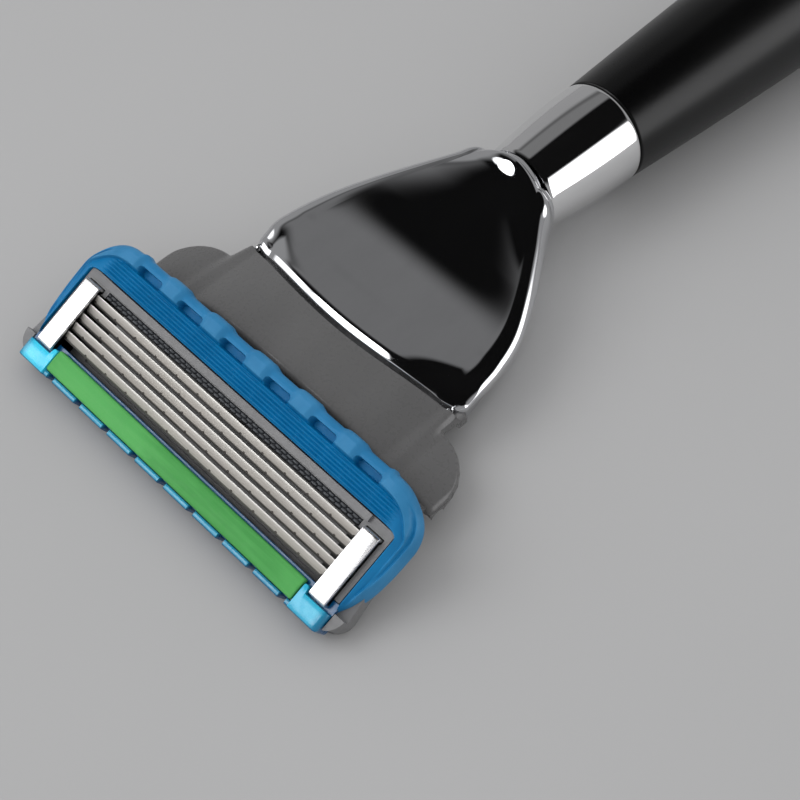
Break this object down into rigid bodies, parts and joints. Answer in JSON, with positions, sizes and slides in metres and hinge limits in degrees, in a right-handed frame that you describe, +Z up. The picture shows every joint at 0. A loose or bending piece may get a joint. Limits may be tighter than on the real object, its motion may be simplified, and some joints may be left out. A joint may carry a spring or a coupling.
{
  "type": "cartridge razor",
  "caption": "Wet-shaving razor: pivoting multi-blade cartridge with blue elastomer guard and green strip, on a chrome head and collar with a long matte black handle.",
  "frame": {"origin": "on the surface that the razor lies on, under the middle of its length and width", "axes": "+X along the blades, +Y from the cartridge to the butt of the handle, +Z up out of the surface, with the shaving face up"},
  "size_m": [0.0432, 0.15, 0.0144],
  "materials": {
    "head_chrome": "mirror-polished chrome plate",
    "collar_chrome": "mirror-polished chrome plate",
    "grip_black": "smooth matte black",
    "yoke_plastic": "satin dark grey moulding",
    "housing_plastic": "fine satin grey moulding",
    "guard_rubber": "soft blue elastomer",
    "cap_plastic": "bright cyan, glossy and slightly translucent",
    "strip_polymer": "waxy green lubricating polymer",
    "clip_aluminium": "bright rolled strip",
    "blade_steel": "ground stainless steel",
    "inner_plastic": "black moulding",
    "inner_steel": "bright drawn steel"
  },
  "bodies": {
    "handle": {"head_shield": "head_chrome", "head_base": "head_chrome", "head_screw_left": "inner_steel", "head_screw_right": "inner_steel", "dock_nose": "inner_plastic", "spring_retainer": "inner_steel", "plunger_spring": "inner_steel", "button_spring": "inner_steel", "neck_collar": "collar_chrome", "core_rod": "inner_steel", "grip_barrel": "grip_black", "counterweight": "inner_steel", "rear_bush": "inner_plastic", "lock_washer": "inner_steel", "lock_nut": "inner_steel", "end_cap": "collar_chrome"},
    "yoke": {"connector_yoke": "yoke_plastic", "pivot_pin_left": "inner_steel", "pivot_pin_right": "inner_steel"},
    "cartridge": {"cartridge_housing": "housing_plastic", "guard_elastomer": "guard_rubber", "comb_strip": "housing_plastic", "cap_carrier": "cap_plastic", "lube_strip": "strip_polymer", "trimmer_blade": "blade_steel", "clip_left": "clip_aluminium", "clip_right": "clip_aluminium"},
    "plunger": {"plunger": "inner_plastic"},
    "button": {"release_button": "inner_plastic", "ejector_fork": "inner_steel"},
    "blade_1_unit": {"blade_1": "blade_steel", "blade_support_1": "inner_steel"},
    "blade_2_unit": {"blade_2": "blade_steel", "blade_support_2": "inner_steel"},
    "blade_3_unit": {"blade_3": "blade_steel", "blade_support_3": "inner_steel"},
    "blade_4_unit": {"blade_4": "blade_steel", "blade_support_4": "inner_steel"},
    "blade_5_unit": {"blade_5": "blade_steel", "blade_support_5": "inner_steel"}
  },
  "joints": [
    {"name": "cartridge_release", "type": "slide", "parent": "handle", "child": "yoke", "axis": [0, -1, 0], "range_m": [0, 0.0112]},
    {"name": "cartridge_pivot", "type": "hinge", "parent": "yoke", "child": "cartridge", "pos_m": [0, -0.06388, 0.00464], "axis": [1, 0, 0], "range_deg": [0, 40], "stiffness_Nm_per_rad": 0.012, "springref_deg": -14.32},
    {"name": "plunger_slide", "type": "slide", "parent": "handle", "child": "plunger", "axis": [0, 1, 0], "range_m": [0, 0.00125], "deforming": ["plunger_spring"]},
    {"name": "button_slide", "type": "slide", "parent": "handle", "child": "button", "axis": [0, -1, 0], "range_m": [0, 0.0035], "stiffness_N_per_m": 120, "springref_m": -0.002, "deforming": ["button_spring"]},
    {"name": "blade_1_float", "type": "slide", "parent": "cartridge", "child": "blade_1_unit", "axis": [0, 0.4939, -0.8695], "range_m": [0, 0.0002], "stiffness_N_per_m": 1500, "springref_m": -0.0001},
    {"name": "blade_2_float", "type": "slide", "parent": "cartridge", "child": "blade_2_unit", "axis": [0, 0.4939, -0.8695], "range_m": [0, 0.0002], "stiffness_N_per_m": 1500, "springref_m": -0.0001},
    {"name": "blade_3_float", "type": "slide", "parent": "cartridge", "child": "blade_3_unit", "axis": [0, 0.4939, -0.8695], "range_m": [0, 0.0002], "stiffness_N_per_m": 1500, "springref_m": -0.0001},
    {"name": "blade_4_float", "type": "slide", "parent": "cartridge", "child": "blade_4_unit", "axis": [0, 0.4939, -0.8695], "range_m": [0, 0.0002], "stiffness_N_per_m": 1500, "springref_m": -0.0001},
    {"name": "blade_5_float", "type": "slide", "parent": "cartridge", "child": "blade_5_unit", "axis": [0, 0.4939, -0.8695], "range_m": [0, 0.0002], "stiffness_N_per_m": 1500, "springref_m": -0.0001}
  ],
  "couplings": [
    {"joint": "plunger_slide", "follows": "cartridge_pivot", "m_per_rad": 0.0016},
    {"joint": "button_slide", "follows": "cartridge_release", "ratio": 0.3125}
  ]
}
